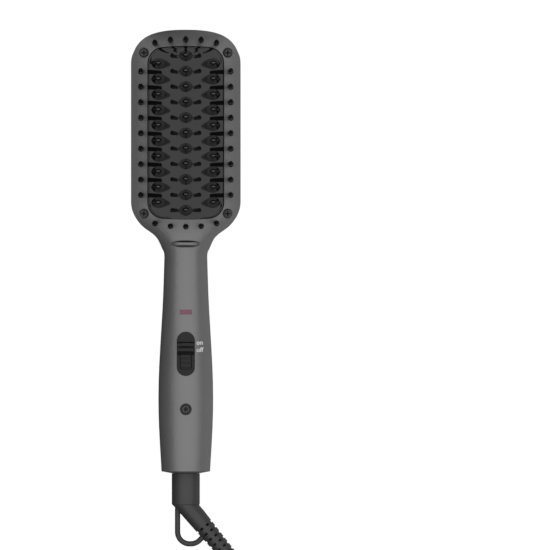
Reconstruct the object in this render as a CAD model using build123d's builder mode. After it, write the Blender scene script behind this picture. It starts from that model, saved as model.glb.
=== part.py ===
"""Heated hair straightening brush with a swivel lead, laid on its back.

The parts are drawn in the moulding frame: the parting seam is Z = 0, the front with the bristles
faces +Z, the handle's end is Y = 0 and the nose points along +Y. Each finished part is then laid
down on the table, where the grip's belly and the head's back touch the surface.
"""

from math import atan, cos, degrees, pi, radians, sin, sqrt, tan
import os

from build123d import *

os.makedirs("parts", exist_ok=True)

# ---------------------------------------------------------------- driving dimensions, millimetres
wall = 2.0
end_wall = 3.0
fit = 0.05
part_gap = 0.3

# handle sections: distance from the handle's end, half width, rise to the front, depth to the back
handle_rings = [
    (0.0, 15.0, 14.9, 13.6),
    (23.0, 16.35, 16.45, 14.85),
    (46.0, 17.0, 16.55, 15.2),
    (69.0, 16.4, 15.5, 14.65),
    (92.0, 15.05, 13.8, 13.9),
    (115.0, 13.9, 13.1, 12.95),
    (134.0, 13.3, 13.4, 12.4),
]
end_slope = 1.3
end_flat = 8.0
neck_y = handle_rings[-1][0]
neck_half = handle_rings[-1][1]

# head: straight sides between a swelling shoulder and a bull nose
head_half = 34.0
head_low = 168.7
head_high = 253.5
nose_y = 275.3
crown_half = 38.0
front_rise = 14.8
back_depth = 12.1
nose_edge = 1.9

# heater plate and its gap
plate_half = 23.5
plate_low = 157.4
plate_high = 264.5
plate_corner = 9.7
plate_arch = 1.7
plate_gap = 0.6
plate_proud = 0.4
plate_thick = 3.2
flange_reach = 1.6

# bristles and heated teeth
pitch = 9.573
rim_x = 27.9
rim_top = 249.05
rim_count = 9
rim_r = 1.45
rim_tip = 34.3
end_spots = [(19.1, 0.0), (9.5, 1.85), (0.0, 2.1)]
end_rise = 266.7
end_low = 154.9
tooth_wide = 8.9
tooth_deep = 6.8
nub_wide = 4.7
nub_deep = 2.7
tooth_count = 11
tooth_low = 162.9
tooth_tip = 33.4
side_tooth_x = 17.05
side_tooth_tip = 30.1
guard_x = 8.4
guard_r = 1.4
guard_tip = 32.4
core_r = 1.7
core_top = 22.0

# screws
corner_x = 26.0
corner_high = 260.8
corner_low = 161.0
recess_r = 3.2
corner_seat = 5.2
head_r = 2.75
shank_r = 1.25
handle_screw_y = 39.7
handle_recess_r = 3.7
handle_head_r = 2.5
handle_seat = 12.8
handle_shank_r = 1.4

# finger ridge across the neck
ridge_y = 142.2
ridge_half = 9.7
ridge_thick = 4.6
ridge_top = 16.4
ridge_round = 11.6
ridge_tall = 3.6
ridge_crest = 1.3

# indicator and switch
lamp_y = 99.9
lamp_wide = 7.5
lamp_long = 3.1
window_y = 74.05
window_wide = 11.2
window_long = 27.5
switch_travel = 4.5
switch_proud = 0.4
grip_y = 78.0
grip_long = 5.0
grip_wide = 10.2
grip_rise = 2.2
slot_half = 3.7

# circuit board
board_low = 52.0
board_high = 112.0
board_half = 10.4
board_bottom = 0.2
board_thick = 1.6

# heater pack
pad_half = 6.2
pad_bottom = 10.2
film_thick = 0.15
strip_thick = 0.3
stone_thick = 2.2
stone_long = 22.0
stone_half = 4.8
pack_mid = 211.0

# swivel outlet, boot and hanging loop
stub_r = 8.7
stub_long = 19.5
journal_r = 4.6
journal_end = 15.0
bush_r = 7.0
boot_turn = 39.7
boot_long = 62.0
boot_wide = 12.8
boot_high = 16.6
boot_end_wide = 8.8
boot_end_high = 11.5
rib_pitch = 4.15
boot_shift = 0.6
rib_gap = 1.4
rib_deep = 0.65
rib_first = 16.6
rib_slot_x = 2.9
rib_slot_wide = 1.7
rib_slot_floor = 4.0
loop_thick = 3.3

# lead
cord_d = 6.5
cord_r = cord_d / 2
coil_mean = 36.0
coil_x = 16.0
coil_y = -158.0
coil_wide = 3 * cord_d
coil_high = 3 * cord_d
bore_deep = 12.0


# ---------------------------------------------------------------- housing form
def ring(y, half, rise, side):
    """A section across the body: a chord on the seam and one arc over the crown."""
    with BuildSketch(Plane.XZ.offset(-y)) as section:
        with BuildLine():
            Line((-half, 0), (half, 0))
            ThreePointArc((half, 0), (0, side * rise), (-half, 0))
        make_face()
    return section.sketch


def crown_rows(side):
    """Shoulder and nose rows of the crown: distance, half width of the arc, rise."""
    low_rise = handle_rings[-1][2 if side > 0 else 3]
    rise = front_rise if side > 0 else back_depth
    span = head_low - neck_y
    shoulder = [
        (neck_y, neck_half, low_rise),
        (neck_y + 0.32 * span, 1.47 * neck_half, low_rise + 0.7 * (rise - low_rise)),
        (neck_y + 0.64 * span, 0.85 * crown_half, rise),
        (head_low, crown_half, rise),
    ]
    if side > 0:
        steps = [(17.3, 1.0), (12.3, 0.955), (7.3, 0.785), (3.3, 0.555)]
    else:
        steps = [(35.3, 1.0), (26.3, 0.955), (16.8, 0.86), (8.3, 0.73), (3.3, 0.53)]
    nose = [(nose_y - back, crown_half, share * rise) for back, share in steps]
    nose.append((nose_y, crown_half, nose_edge))
    return shoulder, nose


nose_curve = [
    (0, nose_y),
    (16, nose_y - 1.4),
    (24.8, nose_y - 4.7),
    (28.5, nose_y - 7.7),
    (30.85, nose_y - 10.8),
    (32.5, nose_y - 14.2),
    (head_half, head_high),
]
shoulder_curve = [
    (head_half, head_low),
    (31.65, head_low - 9.1),
    (25.5, head_low - 16.5),
    (20.3, head_low - 20.2),
    (17.1, head_low - 23.9),
    (14.55, head_low - 29.5),
    (neck_half, neck_y),
]


def moved_in(points, ends, inset):
    """The points of a curve, each moved square to the curve by inset."""
    curve = Spline(*points, tangents=ends)
    moved = []
    for point in points:
        heading = curve % curve.param_at_point(point)
        moved.append((point[0] + inset * heading.Y, point[1] - inset * heading.X))
    return moved


def head_plan(inset):
    """Outline of the head and shoulder, seen from the front."""
    nose_ends = [(1, 0), (0, -1)]
    shoulder_ends = [(0, -1), (0, -1)]
    nose = moved_in(nose_curve, nose_ends, inset)
    shoulder = moved_in(shoulder_curve, shoulder_ends, inset)
    with BuildSketch() as plan:
        with BuildLine():
            Spline(*nose, tangents=nose_ends)
            Line(nose[-1], shoulder[0])
            Spline(*shoulder, tangents=shoulder_ends)
            Polyline(shoulder[-1], (neck_half - inset, neck_y - 10), (0, neck_y - 10), nose[0])
        make_face()
        mirror(about=Plane.YZ)
    return plan.sketch


def half_form(side, inset):
    """Solid of one half of the body, front (+1) or back (-1), shrunk all round by inset."""
    shoulder, nose = crown_rows(side)
    rise = front_rise if side > 0 else back_depth
    with BuildPart() as head:
        loft([ring(y, half - inset, high - inset, side) for y, half, high in shoulder])
        add(ring(head_low, crown_half - inset, rise - inset, side))
        extrude(amount=nose[0][0] - head_low, dir=(0, 1, 0))
        loft([ring(y, half - inset, high - inset, side) for y, half, high in nose if high > inset + 1])
    with BuildPart() as plan:
        add(head_plan(inset))
        extrude(amount=2 * front_rise, both=True)
        add(head.part, mode=Mode.INTERSECT)
    which = 2 if side > 0 else 3
    with BuildPart() as form:
        loft([ring(row[0], row[1] - inset, row[which] - inset, side) for row in handle_rings])
        add(plan.part)
    return form.part


front_solid = half_form(1, 0)
back_solid = half_form(-1, 0)
front_hollow = half_form(1, wall)
back_hollow = half_form(-1, wall)
front_under = half_form(1, wall + fit)
back_under = half_form(-1, wall + fit)


# ---------------------------------------------------------------- small helpers
def rod(x, y, radius, low, high):
    """An upright round solid."""
    with BuildPart() as bar:
        with Locations((x, y, low)):
            Cylinder(radius, high - low, align=(Align.CENTER, Align.CENTER, Align.MIN))
    return bar.part


def block(x0, x1, y0, y1, z0, z1):
    """A plain block between two corners."""
    with BuildPart() as body:
        with Locations(((x0 + x1) / 2, (y0 + y1) / 2, (z0 + z1) / 2)):
            Box(x1 - x0, y1 - y0, z1 - z0)
    return body.part


def axle(radius, y0, y1, inner=0.0):
    """A round solid or ring on the handle's axis, between two distances along it."""
    with BuildPart() as body:
        with BuildSketch(Plane.XZ.offset(-y0)):
            Circle(radius)
            if inner:
                Circle(inner, mode=Mode.SUBTRACT)
        extrude(amount=y1 - y0, dir=(0, 1, 0))
    return body.part


def bristle(x, y, low, high, root, tip):
    """A bristle that narrows to a rounded end."""
    with BuildPart() as hair:
        with Locations((x, y, low)):
            Cone(root, tip, high - tip - low, align=(Align.CENTER, Align.CENTER, Align.MIN))
        with Locations((x, y, high - tip)):
            Sphere(tip)
    return hair.part


def tube(points, radius, radii):
    """A round wire or lead along straight runs that are joined by tangent arcs."""
    with BuildPart() as lead:
        with BuildLine() as route:
            FilletPolyline(*points, radius=radii)
        with BuildSketch(Plane(origin=route.line @ 0, z_dir=route.line % 0)):
            Circle(radius)
        sweep()
    return lead.part


def bend_radii(points):
    """Arc radius at each corner of a route: 0.45 of the shorter run over the half turn's tangent."""
    radii = []
    for before, corner, after in zip(points, points[1:], points[2:]):
        into = Vector(*corner) - Vector(*before)
        out = Vector(*after) - Vector(*corner)
        turn = radians(into.get_angle(out))
        radii.append(0.45 * min(into.length, out.length) / tan(turn / 2))
    return radii


def route_long(points):
    """Length of a route's straight runs and the arcs at its corners."""
    total = sum((Vector(*b) - Vector(*a)).length for a, b in zip(points, points[1:]))
    for radius, before, corner, after in zip(bend_radii(points), points, points[1:], points[2:]):
        into = Vector(*corner) - Vector(*before)
        out = Vector(*after) - Vector(*corner)
        turn = radians(into.get_angle(out))
        total += radius * (turn - 2 * tan(turn / 2))
    return total


def plate_plan(grow):
    """Outline of the heater plate: straight sides, arched ends and rounded corners."""
    side = plate_half
    low = plate_low + plate_arch
    high = plate_high - plate_arch
    with BuildSketch() as plan:
        with BuildLine():
            Line((-side, low), (-side, high))
            ThreePointArc((-side, high), (0, plate_high), (side, high))
            Line((side, high), (side, low))
            ThreePointArc((side, low), (0, plate_low), (-side, low))
        make_face()
        fillet(plan.vertices(), plate_corner)
        offset(amount=grow)
    return plan.sketch


def lens(wide, deep):
    """Pointed oval made of two arcs."""
    with BuildSketch() as shape:
        with BuildLine():
            ThreePointArc((-wide / 2, 0), (0, deep / 2), (wide / 2, 0))
            ThreePointArc((wide / 2, 0), (0, -deep / 2), (-wide / 2, 0))
        make_face()
    return shape.sketch


corner_spots = [(side * corner_x, y) for y in (corner_low, corner_high) for side in (-1, 1)]
side_rows = [rim_top - pitch * n for n in range(rim_count)]
tooth_rows = [tooth_low + pitch * n for n in range(tooth_count)]
side_tooth_rows = [tooth_low + pitch * (n + 0.5) for n in range(tooth_count - 1)]
end_pins = []
for x, back in end_spots:
    for side in (-1, 1) if x else (1,):
        end_pins.append((side * x, end_rise + back))
        end_pins.append((side * x, end_low - back))
rim_pins = end_pins + [(side * rim_x, y) for side in (-1, 1) for y in side_rows]


def surface(rings, y, which):
    """Height of the handle's crown at a distance along it, between two sections."""
    for low, high in zip(rings, rings[1:]):
        if low[0] <= y <= high[0]:
            share = (y - low[0]) / (high[0] - low[0])
            return low[which] + share * (high[which] - low[which])
    return rings[-1][which]


# ---------------------------------------------------------------- switch, in a frame on the handle's slope
window_ends = [window_y - window_long / 2, window_y + window_long / 2]
ends_rise = [surface(handle_rings, y, 2) for y in window_ends]
switch_slope = degrees(atan((ends_rise[0] - ends_rise[1]) / window_long))
switch_rise = sum(ends_rise) / 2 + 0.1
switch_place = Location((0, window_y, switch_rise)) * Location((0, 0, 0), (-switch_slope, 0, 0))
crown_r = surface(handle_rings, window_y, 1)


def curved(x_half, y0, y1, low, high, rounded=0.0):
    """A slab that follows the handle's crown, between two heights over the handle's surface."""
    with BuildPart() as slab:
        with BuildSketch(Plane.XY.offset(-crown_r)) as plan:
            with Locations((0, (y0 + y1) / 2)):
                if rounded:
                    RectangleRounded(2 * x_half, y1 - y0, rounded)
                else:
                    Rectangle(2 * x_half, y1 - y0)
        extrude(amount=crown_r + 8)
        with Locations((0, (y0 + y1) / 2, -crown_r)):
            Cylinder(crown_r + high, y1 - y0 + 4, rotation=(90, 0, 0), mode=Mode.INTERSECT)
        with Locations((0, (y0 + y1) / 2, -crown_r)):
            Cylinder(crown_r + low, y1 - y0 + 4, rotation=(90, 0, 0), mode=Mode.SUBTRACT)
    return slab.part


panel_low = -9.45
panel_high = 2.6
panel_top = -0.45
slot_low = panel_low - part_gap
slot_high = panel_high + switch_travel + part_gap
grip_low = grip_y - grip_long / 2 - window_y
skirt_low = slot_low - switch_travel - 0.6
dip_low = grip_low - 2.2
skirt_high = slot_high + 0.6
bezel_long = window_long / 2 - 0.15
bezel_wide = window_wide / 2 - 0.15

with BuildPart() as switch_bezel:
    add(curved(bezel_wide, -bezel_long, bezel_long, -wall, switch_proud, bezel_wide - 0.01))
    for low, high in ((grip_low + grip_long, slot_high), (dip_low, grip_low)):
        add(curved(bezel_wide + 1, low, high, panel_top, switch_proud + 1), mode=Mode.SUBTRACT)
    add(curved(slot_half, slot_low, slot_high, -wall - 1, switch_proud + 1, 1.2), mode=Mode.SUBTRACT)

lever_half = 1.2
lever_y = 0.0
lever_top = -5.0
lever_low = -10.5
with BuildPart() as switch_slider:
    add(curved(slot_half - part_gap, panel_low, panel_high, -wall - 1.4, panel_top, 0.9))
    add(curved(bezel_wide, skirt_low, skirt_high, -wall - 1.4, -wall - 0.4, 1.0))
    add(curved(slot_half - part_gap, grip_low, panel_high, -1.0, switch_proud + 0.6))
    add(curved(grip_wide / 2, grip_low, grip_low + grip_long, switch_proud + 0.3, grip_rise, 0.8))
    for low, high in ((-2.4, dip_low), (-5.1, -3.85), (-8.4, -6.4)):
        add(curved(slot_half - part_gap - 0.3, low, high, -1.0, 0.35))
    with Locations((0, lever_y, -wall - 1.2)):
        Box(4.4, 4.4, 4.0, align=(Align.CENTER, Align.CENTER, Align.MAX))
    lever_hole = 2 * (lever_half + fit)
    with Locations((0, lever_y, lever_top - 4)):
        Box(lever_hole, lever_hole, 8, mode=Mode.SUBTRACT)
    with Locations((0, grip_low + grip_long / 2, grip_rise - 0.2)):
        Box(grip_wide + 2, 1.4, 1.2, mode=Mode.SUBTRACT)

with BuildPart() as switch_lever:
    with Locations((0, lever_y, (lever_low + lever_top) / 2)):
        Box(2 * lever_half, 2 * lever_half, lever_top - lever_low)

switch_bezel = switch_bezel.part.moved(switch_place)
switch_slider = switch_slider.part.moved(switch_place)
switch_lever = switch_lever.part.moved(switch_place)

board_top = board_bottom + board_thick
with BuildPart() as slide_switch:
    add(block(-4.4, 4.4, window_y - 7.5, window_y + 11.0, board_top, switch_rise + lever_low + 2.6))
    side = lever_half + 0.5
    add(block(-side, side, window_y - 3.0, window_y + switch_travel + 3.0, board_top + 1.0, 20),
        mode=Mode.SUBTRACT)

# ---------------------------------------------------------------- housing halves
lamp_box = block(-lamp_wide / 2, lamp_wide / 2, lamp_y - lamp_long / 2, lamp_y + lamp_long / 2, 8, 20)
window_end = window_long / 2
window_side = window_wide / 2
window_cut = curved(window_side, -window_end, window_end, -wall - 1.5, 3, window_side - 0.01)
with BuildPart() as front_bosses:
    for x, y in corner_spots:
        add(rod(x, y, recess_r + 0.9, 0.1, front_rise))
    add(rod(0, handle_screw_y, handle_recess_r + 1.5, 0.1, 2 * front_rise))
    add(front_solid, mode=Mode.INTERSECT)
with BuildPart() as finger_ridge:
    with BuildSketch(Plane.XY.offset(ridge_top - 8)):
        with Locations((0, ridge_y)):
            add(lens(2 * ridge_half, ridge_thick))
    extrude(amount=8 - ridge_tall)
    with BuildSketch(Plane.XY.offset(ridge_top - ridge_tall)):
        with Locations((0, ridge_y)):
            add(lens(2 * ridge_half, ridge_thick))
    with BuildSketch(Plane.XY.offset(ridge_top)):
        with Locations((0, ridge_y)):
            add(lens(2 * ridge_half - 2, ridge_crest))
    loft()
    with Locations((0, ridge_y, ridge_top - ridge_round)):
        Cylinder(ridge_round, 3 * ridge_thick, rotation=(90, 0, 0), mode=Mode.INTERSECT)

# the handle's end slopes back from the outlet to the rim
end_reach = handle_rings[0][1] + 0.3
end_flare = (end_reach - end_flat) / end_slope
with BuildPart() as end_trim:
    add(axle(2 * end_reach, -1, end_slope))
    with Locations((0, -1, 0)):
        Cone(end_flat - end_flare, end_reach, 1 + end_slope, rotation=(-90, 0, 0),
             align=(Align.CENTER, Align.CENTER, Align.MIN), mode=Mode.SUBTRACT)

with BuildPart() as front_housing:
    add(front_solid)
    add(finger_ridge.part)
    with BuildPart(mode=Mode.PRIVATE) as hollow:
        add(front_hollow)
        with Locations((0, end_wall, 0)):
            Box(200, 600, 60, align=(Align.CENTER, Align.MIN, Align.CENTER), mode=Mode.INTERSECT)
    add(hollow.part, mode=Mode.SUBTRACT)
    add(front_bosses.part)
    with BuildSketch(Plane.XY.offset(-1)):
        add(plate_plan(plate_gap / 2))
    extrude(amount=3 * front_rise, mode=Mode.SUBTRACT)
    for x, y in corner_spots:
        add(rod(x, y, recess_r, corner_seat, 30), mode=Mode.SUBTRACT)
        add(rod(x, y, shank_r + part_gap, -1, 30), mode=Mode.SUBTRACT)
    add(rod(0, handle_screw_y, handle_recess_r, handle_seat, 30), mode=Mode.SUBTRACT)
    add(rod(0, handle_screw_y, handle_shank_r + part_gap, -1, 30), mode=Mode.SUBTRACT)
    for x, y in rim_pins:
        add(rod(x, y, rim_r + part_gap, 2, 30), mode=Mode.SUBTRACT)
    add(lamp_box, mode=Mode.SUBTRACT)
    add(window_cut.moved(switch_place), mode=Mode.SUBTRACT)
    add(axle(bush_r, -1, end_wall + 1), mode=Mode.SUBTRACT)
    add(end_trim.part, mode=Mode.SUBTRACT)

corner_foot = -3.4
handle_foot = -11.0
board_posts = [(side * 8.0, y) for y in (board_low + 4, board_high - 4) for side in (-1, 1)]
with BuildPart() as back_bosses:
    for x, y in corner_spots:
        add(rod(x, y, recess_r + 0.2, -back_depth, -0.1))
    add(rod(0, handle_screw_y, handle_recess_r + 0.6, -20, -0.1))
    for x, y in board_posts:
        add(rod(x, y, 1.8, -20, -0.01))
    add(back_solid, mode=Mode.INTERSECT)

with BuildPart() as rear_housing:
    add(back_solid)
    with BuildPart(mode=Mode.PRIVATE) as hollow:
        add(back_hollow)
        with Locations((0, end_wall, 0)):
            Box(200, 600, 60, align=(Align.CENTER, Align.MIN, Align.CENTER), mode=Mode.INTERSECT)
    add(hollow.part, mode=Mode.SUBTRACT)
    add(back_bosses.part)
    for x, y in board_posts:
        add(rod(x, y, 1.8, -0.02, board_bottom))
    for x, y in corner_spots:
        add(rod(x, y, shank_r, corner_foot, 1), mode=Mode.SUBTRACT)
    add(rod(0, handle_screw_y, handle_shank_r, handle_foot, 1), mode=Mode.SUBTRACT)
    add(axle(bush_r, -1, end_wall + 1), mode=Mode.SUBTRACT)
    add(end_trim.part, mode=Mode.SUBTRACT)


# ---------------------------------------------------------------- heater plate with its tooth cores
with BuildPart() as plate_relief:
    for x, y in corner_spots:
        add(rod(x, y, recess_r + 0.9 + part_gap, 0, 30))

with BuildPart() as plate_skin:
    with BuildSketch():
        add(plate_plan(-plate_gap / 2))
    extrude(amount=2 * front_rise)
    add(half_form(1, -plate_proud), mode=Mode.INTERSECT)

with BuildPart() as plate_flange:
    with BuildSketch():
        add(plate_plan(flange_reach))
    extrude(amount=2 * front_rise)
    add(front_under, mode=Mode.INTERSECT)
    add(plate_relief.part, mode=Mode.SUBTRACT)

clamp_low = pack_mid - 45.0
clamp_high = pack_mid + 45.0
clamp_screws_y = [clamp_low + 3.0, clamp_high - 3.0]
tooth_spots = [(0, y) for y in tooth_rows]
side_tooth_spots = [(side * side_tooth_x, y) for side in (-1, 1) for y in side_tooth_rows]
guard_spots = [(side * guard_x, y) for side in (-1, 1) for y in tooth_rows]

# the crown's arc over the plate gives the height of the plate's face at a distance from the middle
face_half = crown_half + plate_proud
face_rise = front_rise + plate_proud
face_r = (face_half**2 + face_rise**2) / (2 * face_rise)


def face_height(x):
    """Height of the plate's face at a distance from the middle."""
    return face_rise - face_r + sqrt(face_r**2 - x**2)


seat = face_height(tooth_wide / 2) - 1.8
collar = face_rise + 0.1
side_seat = face_height(side_tooth_x + tooth_wide / 2) - 0.25
side_collar = face_height(side_tooth_x - tooth_wide / 2) + 0.1


def core(low, grow):
    """Heat core at the origin, or with grow its socket in the tooth."""
    with BuildPart() as pin:
        with Locations((0, 0, low)):
            Cone(core_r + grow, core_r - 0.7 + grow, core_top - low,
                 align=(Align.CENTER, Align.CENTER, Align.MIN))
    return pin.part


def pocket(low):
    """Seat of a tooth in the plate."""
    with BuildPart() as cut:
        with BuildSketch(Plane.XY.offset(low)):
            add(lens(tooth_wide, tooth_deep))
        extrude(amount=10)
    return cut.part


with BuildPart() as heater_plate:
    add(plate_skin.part)
    add(plate_flange.part)
    with BuildPart(mode=Mode.PRIVATE) as under:
        add(half_form(1, plate_thick))
        add(block(-pad_half, pad_half, clamp_low, clamp_high, pad_bottom, front_rise), mode=Mode.SUBTRACT)
    add(under.part, mode=Mode.SUBTRACT)
    with Locations([(x, y, 0) for x, y in tooth_spots]):
        add(pocket(seat), mode=Mode.SUBTRACT)
    with Locations([(x, y, 0) for x, y in side_tooth_spots]):
        add(pocket(side_seat), mode=Mode.SUBTRACT)
    with Locations([(x, y, 0) for x, y in tooth_spots]):
        add(core(seat - 1, 0.0))
    with Locations([(x, y, 0) for x, y in side_tooth_spots]):
        add(core(side_seat - 1, 0.0))
    for x, y in guard_spots:
        add(rod(x, y, guard_r + fit, 5, 30), mode=Mode.SUBTRACT)
    for y in clamp_screws_y:
        add(rod(0, y, shank_r, pad_bottom - 1, pad_bottom + 2.2), mode=Mode.SUBTRACT)

print("plate", heater_plate.part.volume, heater_plate.part.is_valid, len(heater_plate.part.solids()))


def tooth(low, neck, tip, straight, rounding):
    """A heated tooth at the origin: a pointed oval root that narrows to a ridge."""
    nub = tip - straight
    with BuildPart() as body:
        with BuildSketch(Plane.XY.offset(low)):
            add(lens(tooth_wide, tooth_deep))
        extrude(amount=neck - low)
        for high, wide, deep in (
            (neck, tooth_wide, tooth_deep),
            ((neck + nub) / 2, 0.75 * tooth_wide, 0.69 * tooth_deep),
            (nub, nub_wide, nub_deep),
        ):
            with BuildSketch(Plane.XY.offset(high)):
                add(lens(wide, deep))
        loft()
        with BuildSketch(Plane.XY.offset(nub)):
            add(lens(nub_wide, nub_deep))
        extrude(amount=straight)
        fillet(body.edges().group_by(Axis.Z)[-1], rounding)
        add(core(low - 1, fit), mode=Mode.SUBTRACT)
    return body.part


with BuildPart() as teeth_centre:
    with Locations([(x, y, 0) for x, y in tooth_spots]):
        add(tooth(seat, collar, tooth_tip, 4.0, 0.5))
with BuildPart() as teeth_side:
    with Locations([(x, y, 0) for x, y in side_tooth_spots]):
        add(tooth(side_seat, side_collar, side_tooth_tip, 1.0, 0.8))
print("teeth", teeth_centre.part.volume, len(teeth_centre.part.solids()), len(teeth_side.part.solids()))

# ---------------------------------------------------------------- guard and rim bristles on their bars
guard_bar = 1.6
guard_bar_top = pad_bottom - 0.2
with BuildPart() as plate_bristles:
    for side in (-1, 1):
        add(block(side * guard_x - guard_r, side * guard_x + guard_r, tooth_rows[0] - 2, tooth_rows[-1] + 2,
                  guard_bar_top - guard_bar, guard_bar_top))
    for x, y in guard_spots:
        add(bristle(x, y, guard_bar_top - 0.2, guard_tip, guard_r, 1.0))

bar_low = 2.2
bar_top = 4.0
with BuildPart() as rim_bristles:
    for side in (-1, 1):
        bar_x = side * rim_x
        add(block(bar_x - 1.5, bar_x + 1.5, side_rows[-1] - 3, side_rows[0] + 3, bar_low, bar_top))
        for y in side_rows:
            add(bristle(side * rim_x, y, bar_top - 0.2, rim_tip, rim_r, 1.3))

with BuildPart() as end_bristles:
    outer = end_spots[0][0] + 1.2
    for base, way in ((end_rise, 1), (end_low, -1)):
        with BuildSketch(Plane.XY.offset(bar_low)):
            with BuildLine(mode=Mode.PRIVATE) as bow:
                ThreePointArc((-outer, base - way * 0.3), (0, base + way * 1.9), (outer, base - way * 0.3))
            SlotArc(bow.edges()[0], 3.0)
        extrude(amount=bar_top - bar_low)
    for x, y in end_pins:
        add(bristle(x, y, bar_top - 0.2, rim_tip, rim_r, 1.3))


# ---------------------------------------------------------------- screws and indicator
def cross(size, x, y, high, deep):
    """Cross recess in a screw's head."""
    with BuildPart() as cut:
        with Locations((x, y, high)):
            Box(2 * size, 0.7, 2 * deep)
            Box(0.7, 2 * size, 2 * deep)
    return cut.part


with BuildPart() as corner_screws:
    for x, y in corner_spots:
        with BuildPart(mode=Mode.PRIVATE) as screw:
            add(rod(x, y, head_r, corner_seat, corner_seat + 1.8))
            fillet(screw.edges().group_by(Axis.Z)[-1], 0.7)
            add(rod(x, y, shank_r, corner_foot + 0.3, corner_seat + 0.2))
            add(cross(1.7, x, y, corner_seat + 1.8, 1.2), mode=Mode.SUBTRACT)
        add(screw.part)

with BuildPart() as handle_screw:
    add(rod(0, handle_screw_y, handle_head_r, handle_seat, handle_seat + 2.2))
    fillet(handle_screw.edges().group_by(Axis.Z)[-1], 0.7)
    add(rod(0, handle_screw_y, handle_shank_r, handle_foot + 0.5, handle_seat + 0.2))
    add(rod(0, handle_screw_y, 1.5, handle_seat + 1.5, handle_seat + 3), mode=Mode.SUBTRACT)
    add(cross(1.35, 0, handle_screw_y, handle_seat + 1.6, 0.9), mode=Mode.SUBTRACT)

with BuildPart() as indicator_lens:
    add(block(-lamp_wide / 2, lamp_wide / 2, lamp_y - lamp_long / 2, lamp_y + lamp_long / 2, 9.4, 20))
    add(half_form(1, 0.05), mode=Mode.INTERSECT)
    with BuildPart(mode=Mode.PRIVATE) as lens_flange:
        add(block(-lamp_wide / 2 - 1, lamp_wide / 2 + 1, lamp_y - 2.6, lamp_y + 2.6, 9.4, 20))
        add(front_under, mode=Mode.INTERSECT)
    add(lens_flange.part)

# ---------------------------------------------------------------- heater pack under the plate
film_half = stone_half + 0.8
stack = [pad_bottom - film_thick, pad_bottom - film_thick - strip_thick]
stack.append(stack[1] - stone_thick)
stack.append(stack[2] - strip_thick)
film_bottom = stack[3] - film_thick
pack_low = pack_mid - 1.5 * stone_long - 1.0
pack_high = pack_mid + 1.5 * stone_long + 1.0
with BuildPart() as heater_film:
    add(block(-film_half, film_half, pack_low - 2, pack_high + 2, film_bottom, pad_bottom))
    inner_half = film_half - film_thick
    add(block(-inner_half, inner_half, pack_low - 3, pack_high + 3, stack[3], stack[0]), mode=Mode.SUBTRACT)
with BuildPart() as heater_electrodes:
    for low, high, tab in ((stack[1], stack[0], 3.2), (stack[3], stack[2], -3.2)):
        add(block(-stone_half, stone_half, pack_low, pack_high, low, high))
        add(block(tab - 1.4, tab + 1.4, clamp_low - 3, pack_low + 1, low, high))
with BuildPart() as ptc_heaters:
    for step in (-1, 0, 1):
        y = pack_mid + step * (stone_long + 0.5)
        add(block(-stone_half, stone_half, y - stone_long / 2, y + stone_long / 2, stack[2], stack[1]))
clamp_thick = 1.2
with BuildPart() as heater_clamp:
    clamp_half = pad_half - 0.2
    add(block(-clamp_half, clamp_half, clamp_low, clamp_high, film_bottom - clamp_thick, film_bottom))
    for side in (-1, 1):
        edge = side * (pad_half - 0.7)
        add(block(edge - 0.5, edge + 0.5, clamp_low, clamp_high, film_bottom - 2.2, film_bottom))
    for y in clamp_screws_y:
        add(rod(0, y, shank_r + 0.2, 0, 20), mode=Mode.SUBTRACT)
with BuildPart() as clamp_screws:
    for y in clamp_screws_y:
        add(rod(0, y, shank_r, film_bottom - clamp_thick - 0.2, pad_bottom + 2.0))
        add(rod(0, y, 2.3, film_bottom - clamp_thick - 1.3, film_bottom - clamp_thick))
fuse_r = 1.9
sensor_r = 1.5
clamp_under = film_bottom - clamp_thick
with BuildPart() as thermal_fuse:
    with Locations((0, pack_mid - 22, clamp_under - fuse_r)):
        Cylinder(fuse_r, 11, rotation=(90, 0, 0))
with BuildPart() as thermistor:
    with Locations((0, pack_mid + 20, clamp_under - sensor_r)):
        Cylinder(sensor_r, 5, rotation=(90, 0, 0))
shield_top = 0.6
with BuildPart() as heat_shield:
    add(block(-21, 21, pack_mid - 50, pack_mid + 50, shield_top - 1.0, shield_top))
    for side in (-1, 1):
        for y in (pack_mid - 40, pack_mid, pack_mid + 40):
            add(block(side * 16 - 1, side * 16 + 1, y - 4, y + 4, -back_depth, shield_top - 1.0))
    with BuildPart(mode=Mode.PRIVATE) as shield_space:
        add(back_under)
        add(block(-40, 40, 140, 300, -0.1, shield_top))
    add(shield_space.part, mode=Mode.INTERSECT)
print("shield", len(heat_shield.part.solids()))

# ---------------------------------------------------------------- circuit board
with BuildPart() as circuit_board:
    add(block(-board_half, board_half, board_low, board_high, board_bottom, board_top))
with BuildPart() as indicator_led:
    with Locations((0, lamp_y, board_top)):
        Cylinder(1.9, 1.0, align=(Align.CENTER, Align.CENTER, Align.MIN))
        Cylinder(1.5, 4.6, align=(Align.CENTER, Align.CENTER, Align.MIN))
    with Locations((0, lamp_y, board_top + 4.6)):
        Sphere(1.5)
with BuildPart() as board_parts:
    add(block(-4.5, 4.5, board_high - 7.5, board_high - 2.0, board_top, board_top + 5.5))
    add(block(-8.2, -5.2, lamp_y - 8, lamp_y + 2, board_top, board_top + 3.2))
    add(block(5.2, 8.2, lamp_y - 4, lamp_y + 1, board_top, board_top + 1.6))
    add(block(-3.0, 3.0, board_low + 2.0, board_low + 8.0, board_top, board_top + 4.0))

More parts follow.
